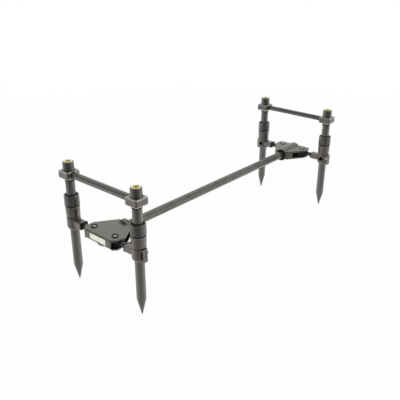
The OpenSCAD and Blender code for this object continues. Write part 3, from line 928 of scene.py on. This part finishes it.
@dataclass
class Carrier:
    """The T-blocks of one goalpost, with their gaskets, seals, collets and screws."""

    end: End
    block_soft: float = 0.35
    gasket_soft: float = 0.3
    clamp_soft: float = 0.15
    grub_soft: float = 0.2
    groove_z: float = 124.0
    groove_t: float = 1.4
    groove_r: float = 11.0
    groove_slack: float = 0.05
    groove_wall: Span = (-0.2, 0.7)
    seal_low: float = 144.0
    seal_t: float = 2.2
    seal_r: float = 12.2
    seal_soft: float = 0.25
    seal_shadow: float = 0.4
    neck_r: float = 10.52

    def build(self, shop: Workshop) -> None:
        """Builds and dresses the carrier's pieces.

        Args:
            shop: The workshop that makes the pieces.
        """
        end = self.end.word
        kinds = shop.finishes
        for side in Side:
            leg = f"{end}_{side.word}"
            # Painted shade in the sleeve's groove and under the seal.
            shop.refine(f"{leg}_tee", f"{leg}_t_block", kinds.block, self.block_soft, self.in_groove)
        shop.refine(f"{end}_square_gaskets", f"{end}_arm_gaskets", kinds.rubber, self.gasket_soft)
        shop.refine(f"{end}_clamp_screws", f"{end}_ear_screws", kinds.clamp_steel, self.clamp_soft)
        # The set screws' near-black is partly their own oxide, partly painted shade of their recess.
        shop.refine(f"{end}_set_screws", f"{end}_grub_screws", kinds.dark_steel, self.grub_soft)
        shop.paint(f"{end}_collets", kinds.plastic)
        self.build_seals(shop)

    def in_groove(self, point: Vector) -> bool:
        """Tells whether a point of a T-block gets painted shade in a seam.

        Args:
            point: The point in millimetres.

        Returns:
            Whether it lies in the groove above the sleeve or under the seal, where shade is painted.
        """
        out = LAYOUT.off_post(point, self.end, LAYOUT.leg_x) - self.groove_r
        level = abs(point.z - self.groove_z) < self.groove_t / 2 + self.groove_slack
        groove = level and self.groove_wall[0] < out < self.groove_wall[1]
        return groove or point.z > self.seal_low - self.seal_shadow

    def build_seals(self, shop: Workshop) -> None:
        """Builds the black seals between the halves of the collars.

        Args:
            shop: The workshop that makes the piece.
        """
        end = self.end.word
        top = self.seal_low + self.seal_t
        profile = [
            (self.neck_r, self.seal_low), (self.seal_r, self.seal_low),
            (self.seal_r, top), (self.neck_r, top),
        ]
        rings = [laid(turned(profile, self.seal_soft), Axis.Z, LAYOUT.leg(self.end, s)) for s in Side]
        shop.piece(f"{end}_seal_rings", gathered(rings), shop.finishes.rubber, f"{end}_mid_seals")


@dataclass
class LegFrame:
    """The legs, end blocks and cross bar of one goalpost."""

    end: End
    block_soft: float = 0.9
    leg_top: float = 190.0
    leg_bevel: float = 0.5
    leg_soft: float = 0.2
    tip_flat_r: float = 0.8
    tip_length: float = 30.0
    bore_r: float = 6.4
    bore_low: float = 36.0
    bore_point: float = 32.0
    ring_t: float = 2.0
    ring_foot: float = 0.1
    ring_proud: float = 0.5
    ring_bevel: float = 0.6
    ring_soft: float = 0.3
    stud_r: float = 4.81
    cross_z: float = 201.25
    cross_half: float = 75.3
    cross_soft: float = 0.2
    near_cross_r: float = 6.0
    far_cross_r: float = 5.1

    def build(self, shop: Workshop) -> None:
        """Builds and dresses the frame's pieces.

        Args:
            shop: The workshop that makes the pieces.
        """
        end = self.end.word
        kinds = shop.finishes
        for side in Side:
            self.build_leg(shop, side)
            leg = f"{end}_{side.word}"
            shop.refine(f"{leg}_end_block", f"{leg}_block", kinds.block, self.block_soft)
        shop.paint(f"{end}_leg_plugs", kinds.plug)
        self.build_rings(shop)
        self.build_cross_bar(shop)

    def build_leg(self, shop: Workshop, side: Side) -> None:
        """Builds one leg with its pointed tip.

        Args:
            shop: The workshop that makes the piece.
            side: The leg's side.
        """
        out = LAYOUT.leg_r
        profile = [
            (0.0, 0.0), (self.tip_flat_r, 0.0),
            (out, self.tip_length), (out, self.leg_top - self.leg_bevel),
            (out - self.leg_bevel, self.leg_top), (self.bore_r, self.leg_top),
            (self.bore_r, self.bore_low), (0.0, self.bore_point),
        ]
        leg = laid(turned(profile, self.leg_soft), Axis.Z, LAYOUT.leg(self.end, side))
        node = f"{self.end.word}_{side.word}_leg"
        shop.piece(f"{node}_tube", leg, shop.finishes.leg, node)

    def build_rings(self, shop: Workshop) -> None:
        """Builds the black rings under the blocks.

        Args:
            shop: The workshop that makes the piece.
        """
        end = self.end.word
        low = self.leg_top
        high = low + self.ring_t
        foot = LAYOUT.leg_r + self.ring_foot
        out = LAYOUT.leg_r + self.ring_proud
        profile = [
            (self.stud_r, low), (foot, low),
            (out, low + self.ring_bevel), (out, high - self.ring_bevel),
            (foot, high), (self.stud_r, high),
        ]
        rings = [laid(turned(profile, self.ring_soft), Axis.Z, LAYOUT.leg(self.end, s)) for s in Side]
        shop.piece(f"{end}_neck_rings", gathered(rings), shop.finishes.rubber, f"{end}_o_rings")

    def build_cross_bar(self, shop: Workshop) -> None:
        """Builds the round bar between the end blocks.

        Args:
            shop: The workshop that makes the piece.
        """
        end = self.end.word
        half = self.cross_half
        out = self.near_cross_r if self.end is End.NEAR else self.far_cross_r
        profile = [(0.0, -half), (out, -half), (out, half), (0.0, half)]
        place = Vector((0, self.end.value * LAYOUT.post_y, self.cross_z))
        bar = laid(turned(profile, self.cross_soft), Axis.X, place)
        shop.piece(f"{end}_cross_bar", bar, shop.finishes.cross, f"{end}_buzz_bar")


@dataclass
class OnLeg:
    """A sub-assembly on one leg."""

    end: End
    side: Side

    @property
    def word(self) -> str:
        """The leg's words in node names."""
        return f"{self.end.word}_{self.side.word}"

    @property
    def place(self) -> Vector:
        """The foot of the leg's axis in millimetres."""
        return LAYOUT.leg(self.end, self.side)


@dataclass
class LockCollar(OnLeg):
    """One lock nut with its wiper ring."""

    low: float = 146.3
    top: float = 164.8
    low_r: float = 13.0
    top_r: float = 12.6
    foot_bevel: float = 0.4
    bevel: float = 1.4
    neck_r: float = 10.58
    neck_top: float = 157.7
    leg_gap: float = 0.35
    nut_soft: float = 0.18
    seam_slack: float = 0.05
    rim_shadow: float = 0.25
    wiper_r: float = 10.6
    wiper_depth: float = 2.5
    wiper_proud: float = 0.5
    wiper_gap: float = 0.1
    wiper_slack: float = 0.02
    wiper_bevel: float = 0.4
    wiper_soft: float = 0.15

    def build(self, shop: Workshop) -> None:
        """Builds and dresses the nut and its wiper.

        Args:
            shop: The workshop that makes the pieces.
        """
        seat = self.top - self.wiper_depth
        self.build_nut(shop, seat)
        self.build_wiper(shop, seat)

    def build_nut(self, shop: Workshop, seat: float) -> None:
        """Builds the nut.

        Args:
            shop: The workshop that makes the piece.
            seat: Height of the wiper's seat in millimetres.
        """
        bore = LAYOUT.leg_r + self.leg_gap
        profile = [
            (self.neck_r, self.low), (self.low_r - self.foot_bevel, self.low),
            (self.low_r, self.low + self.foot_bevel), (self.top_r, self.top - self.bevel),
            (self.top_r - self.bevel, self.top), (self.wiper_r, self.top),
            (self.wiper_r, seat), (bore, seat),
            (bore, self.neck_top), (self.neck_r, self.neck_top),
        ]
        nut = laid(turned(profile, self.nut_soft), Axis.Z, self.place)
        # Painted shade on the nut where it meets its seal and its wiper.
        shade(nut, self.in_seam)
        shop.piece(f"{self.word}_lock_collar", nut, shop.finishes.collar, f"{self.word}_nut")

    def in_seam(self, point: Vector) -> bool:
        """Tells whether a point of the nut lies against its seal or its wiper, where shade is painted."""
        foot = self.low + self.foot_bevel + self.seam_slack
        return point.z < foot or point.z > self.top - self.rim_shadow

    def build_wiper(self, shop: Workshop, seat: float) -> None:
        """Builds the black ring round the leg.

        Args:
            shop: The workshop that makes the piece.
            seat: Height of the wiper's seat in millimetres.
        """
        high = self.top + self.wiper_proud
        inner = LAYOUT.leg_r + self.wiper_gap
        out = self.wiper_r - self.wiper_slack
        profile = [
            (inner, seat), (out, seat),
            (out, high - self.wiper_bevel), (self.wiper_r - self.wiper_bevel, high),
            (inner, high),
        ]
        ring = laid(turned(profile, self.wiper_soft), Axis.Z, self.place)
        shop.piece(f"{self.word}_wiper_ring", ring, shop.finishes.rubber, f"{self.word}_wiper")


@dataclass
class Head(OnLeg):
    """One head knob with its brass insert and thread."""

    knob_low: float = 208.1
    knob_top: float = 223.0
    foot_r: float = 9.7
    top_r: float = 9.2
    foot_bevel: float = 0.5
    top_bevel: float = 0.9
    knob_soft: float = 0.15
    fit: float = 0.02
    stud_gap: float = 0.3
    stud_r: float = 4.75
    stud_low: float = 172.0
    stud_bevel: float = 0.8
    insert_r: float = 7.3
    insert_soft: float = 0.12
    brass_top: float = 223.3
    brass_low: float = 211.0
    brass_bevel: float = 0.4
    mouth: float = 0.5
    lining: float = 0.1
    lining_gap: float = 0.01
    hole_depth: float = 10.5
    crest_r: float = 4.2
    crest_half: float = 0.06
    root_r: float = 4.7
    pitch: float = 1.27
    flank: float = 0.46
    run_in: float = 0.5
    run_out: float = 1.1
    turn_steps: int = 32

    def build(self, shop: Workshop) -> None:
        """Builds and dresses the knob, the insert and its thread.

        Args:
            shop: The workshop that makes the pieces.
        """
        floor = self.brass_top - self.hole_depth
        self.build_knob(shop)
        self.build_insert(shop, floor)
        self.build_bore(shop, floor)

    def build_knob(self, shop: Workshop) -> None:
        """Builds the tapered knob.

        Args:
            shop: The workshop that makes the piece.
        """
        bore = self.stud_r + self.stud_gap
        inner = self.insert_r + self.fit
        profile = [
            (bore, self.knob_low), (self.foot_r - self.foot_bevel, self.knob_low),
            (self.foot_r, self.knob_low + self.foot_bevel),
            (self.top_r, self.knob_top - self.top_bevel),
            (self.top_r - self.top_bevel, self.knob_top), (inner, self.knob_top),
            (inner, self.brass_low), (bore, self.brass_low),
        ]
        knob = laid(turned(profile, self.knob_soft), Axis.Z, self.place)
        shop.piece(f"{self.word}_head_knob", knob, shop.finishes.collar, f"{self.word}_knob")

    def build_insert(self, shop: Workshop, floor: float) -> None:
        """Builds the brass insert with its stud.

        Args:
            shop: The workshop that makes the piece.
            floor: Height of the hole's floor in millimetres.
        """
        wall = self.root_r + self.lining
        base = floor - self.lining
        profile = [
            (0.0, self.stud_low), (self.stud_r - self.stud_bevel, self.stud_low),
            (self.stud_r, self.stud_low + self.stud_bevel), (self.stud_r, self.brass_low),
            (self.insert_r, self.brass_low), (self.insert_r, self.brass_top - self.brass_bevel),
            (self.insert_r - self.brass_bevel, self.brass_top),
            (self.root_r + self.mouth, self.brass_top), (wall, self.brass_top - self.brass_bevel),
            (wall, base), (0.0, base),
        ]
        insert = laid(turned(profile, self.insert_soft), Axis.Z, self.place)
        shop.piece(f"{self.word}_brass_insert", insert, shop.finishes.brass, f"{self.word}_brass")

    def build_bore(self, shop: Workshop, floor: float) -> None:
        """Builds the threaded lining of the hole.

        Args:
            shop: The workshop that makes the piece.
            floor: Height of the hole's floor in millimetres.
        """
        rim = self.brass_top - self.mouth
        thick = self.lining - self.lining_gap
        root = self.root_r
        out = root + thick
        base = floor - thick
        profile = [(0.0, base), (out, base), (out, rim), (root, rim), (root, floor), (0.0, floor)]
        bore = laid(gathered([turned(profile, 0.0), self.thread(floor)]), Axis.Z, self.place)
        name = f"{self.word}_brass_thread"
        shop.piece(name, bore, shop.finishes.bore, f"{self.word}_knob", instead=False)

    def thread(self, floor: float) -> BMesh:
        """Sweeps the thread's ridge up the hole.

        Args:
            floor: Height of the hole's floor in millimetres.

        Returns:
            The ridge about Z, in metres.
        """
        bm = bmesh.new()
        half = self.flank * self.pitch
        low = floor + self.run_in + half
        base = self.root_r + self.lining
        section = [
            (base, low - half), (self.crest_r, low - self.crest_half),
            (self.crest_r, low + self.crest_half), (base, low + half),
        ]
        start = bm.faces.new([bm.verts.new((r * MM, 0.0, z * MM)) for r, z in section])
        turns = int((self.hole_depth - self.run_in - self.run_out - 2 * half) / self.pitch)
        bmesh.ops.spin(
            bm, geom=[start], cent=(0, 0, 0), axis=(0, 0, 1),
            dvec=(0, 0, self.pitch * MM / self.turn_steps), angle=FULL_TURN * turns,
            steps=self.turn_steps * turns, use_merge=False,
        )
        bmesh.ops.recalc_face_normals(bm, faces=bm.faces)
        return bm


@dataclass(frozen=True)
class Lamp:
    """One soft square lamp, with its place, aim and side in metres and its power in watts."""

    name: str
    place: Point
    aim: Point
    size: float
    power: float

    def build(self) -> None:
        """Adds the lamp, unseen by the camera and by reflections."""
        data = bpy.data.lights.new(self.name, "AREA")
        data.size = self.size
        data.energy = self.power
        made = bpy.data.objects.new(self.name, data)
        spot = Vector(self.place)
        turn = (Vector(self.aim) - spot).to_track_quat("-Z", "Y")
        made.matrix_world = Matrix.Translation(spot) @ turn.to_matrix().to_4x4()
        made.visible_camera = False
        made.visible_glossy = False
        bpy.context.scene.collection.objects.link(made)


@dataclass
class Studio:
    """Camera, floor, lamps and white surround, in metres."""

    eye: Point = (0.6303, -0.7697, 0.5362)
    yaw: float = 41.02
    pitch: float = 24.58
    roll: float = 0.10
    focal_pixels: float = 547.4
    frame_pixels: float = 400.0
    sensor: float = 36.0
    clip: Span = (0.01, 200.0)
    front: Point = (0.656, -0.755, 0.0)
    floor_half: float = 30.0
    floor_colour: tuple[float, float, float, float] = (0.86, 0.86, 0.86, 1.0)
    floor_rough: float = 0.9
    white_reach: Span = (0.4, 1.6)
    white_share: float = 0.94
    paper_reach: Span = (-0.3, 0.8)
    paper_share: float = 0.5
    room_level: float = 0.80
    room_slope: float = 0.74
    room_dark: float = 0.08
    above_rise: Span = (-0.1, 0.3)
    above_drop: float = 0.46
    panel: Point = (0.755, 0.352, 0.553)
    panel_edge: Span = (0.80, 0.97)
    panel_gain: float = 0.5
    fill_level: float = 0.5
    lamps: tuple[Lamp, ...] = (
        Lamp("key_above", (0.2, -0.3, 1.6), (0.0, 0.0, 0.1), 1.4, 12.0),
        Lamp("front_left", (-1.0, -1.3, 0.9), (0.0, -0.1, 0.12), 1.0, 7.0),
        Lamp("back_right", (1.1, 1.2, 0.9), (0.0, 0.1, 0.12), 0.9, 6.0),
    )

    def build(self) -> None:
        """Builds the studio."""
        self.build_camera()
        self.build_floor()
        self.build_world()
        for lamp in self.lamps:
            lamp.build()

    def build_camera(self) -> None:
        """Sets the camera at the photograph's viewing angle."""
        yaw = math.radians(self.yaw)
        pitch = math.radians(self.pitch)
        roll = math.radians(self.roll)
        flat = math.cos(pitch)
        ahead = Vector((-math.sin(yaw) * flat, math.cos(yaw) * flat, -math.sin(pitch)))
        level = Vector((math.cos(yaw), math.sin(yaw), 0.0))
        upright = level.cross(ahead)
        right = math.cos(roll) * level + math.sin(roll) * upright
        up = -math.sin(roll) * level + math.cos(roll) * upright
        turn = Matrix((right, up, -ahead)).transposed().to_4x4()
        data = bpy.data.cameras.new("camera")
        data.sensor_width = self.sensor
        data.lens = self.focal_pixels * self.sensor / self.frame_pixels
        data.clip_start, data.clip_end = self.clip
        camera = bpy.data.objects.new("camera", data)
        camera.matrix_world = Matrix.Translation(self.eye) @ turn
        bpy.context.scene.collection.objects.link(camera)
        bpy.context.scene.camera = camera

    def build_floor(self) -> None:
        """Builds the pale floor."""
        bm = bmesh.new()
        bmesh.ops.create_grid(bm, x_segments=1, y_segments=1, size=self.floor_half)
        mesh = bpy.data.meshes.new("floor")
        bm.to_mesh(mesh)
        bm.free()
        mesh.materials.append(self.floor_material())
        floor = bpy.data.objects.new("floor", mesh)
        bpy.context.scene.collection.objects.link(floor)

    def floor_material(self) -> bpy.types.Material:
        """Makes the floor's material, white to the camera apart from the object's soft shadow.

        Returns:
            The material.
        """
        made = bpy.data.materials.new("floor_white")
        made.use_nodes = True
        tree = made.node_tree
        shader = tree.nodes["Principled BSDF"]
        fill(tree, shader, {"Base Color": self.floor_colour, "Roughness": self.floor_rough})
        path = add_node(tree, "ShaderNodeLightPath").outputs
        place = add_node(tree, "ShaderNodeTexCoord").outputs["Object"]
        reach = add_node(tree, "ShaderNodeVectorMath", {0: place}, operation="LENGTH")
        levels = (self.white_share, 1.0)
        white = add_ramp(tree, reach.outputs["Value"], self.white_reach, levels, smooth=True)
        seen = add_math(tree, "MULTIPLY", white, path["Is Camera Ray"])
        glow = add_node(tree, "ShaderNodeEmission").outputs[0]
        pale = mix_shaders(tree, seen, shader.outputs[0], glow)
        paper = add_ramp(tree, add_dot(tree, place, self.front), self.paper_reach, (self.paper_share, 0.0))
        clear = add_node(tree, "ShaderNodeBsdfTransparent").outputs[0]
        sheen = mix_shaders(tree, paper, clear, glow)
        shown = mix_shaders(tree, path["Is Glossy Ray"], pale, sheen)
        fill(tree, tree.nodes["Material Output"], {"Surface": shown})
        return made

    def build_world(self) -> None:
        """Makes the surround white to the camera, shaded round reflections, and a lower fill light."""
        world = bpy.data.worlds.new("surround")
        world.use_nodes = True
        bpy.context.scene.world = world
        tree = world.node_tree
        path = add_node(tree, "ShaderNodeLightPath").outputs
        look = add_node(tree, "ShaderNodeTexCoord").outputs["Generated"]
        ahead = add_dot(tree, look, self.front)
        room = add_math(tree, "MULTIPLY_ADD", ahead, -self.room_slope, self.room_level)
        aside = add_dot(tree, look, self.panel)
        panel = add_ramp(tree, aside, self.panel_edge, (0.0, self.panel_gain), smooth=True)
        height = add_node(tree, "ShaderNodeSeparateXYZ", {0: look}).outputs["Z"]
        above = add_ramp(tree, height, self.above_rise, (0.0, self.above_drop), smooth=True)
        raised = add_math(tree, "ADD", room, panel)
        lower = add_math(tree, "SUBTRACT", raised, above)
        around = add_node(tree, "ShaderNodeClamp", {"Value": lower, "Min": self.room_dark}).outputs[0]
        mirrored = add_math(tree, "MAXIMUM", path["Is Glossy Ray"], path["Is Transmission Ray"])
        level = add_node(tree, "ShaderNodeMix", {0: mirrored, 2: self.fill_level, 3: around}).outputs[0]
        shown = add_math(tree, "MAXIMUM", level, path["Is Camera Ray"])
        fill(tree, tree.nodes["Background"], {"Color": WHITE, "Strength": shown})


def main() -> None:
    """Builds every sub-assembly in order."""
    logging.basicConfig(level=logging.INFO, format="%(message)s")
    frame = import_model()
    bpy.context.scene.view_settings.view_transform = "Standard"
    Studio().build()
    shop = Workshop(frame, Effects.build(), Finishes())
    MainBar().build(shop)
    for end in End:
        Hub(end).build(shop)
        Carrier(end).build(shop)
        LegFrame(end).build(shop)
        for side in Side:
            LockCollar(end, side).build(shop)
            Head(end, side).build(shop)


if __name__ == "__main__":
    main()
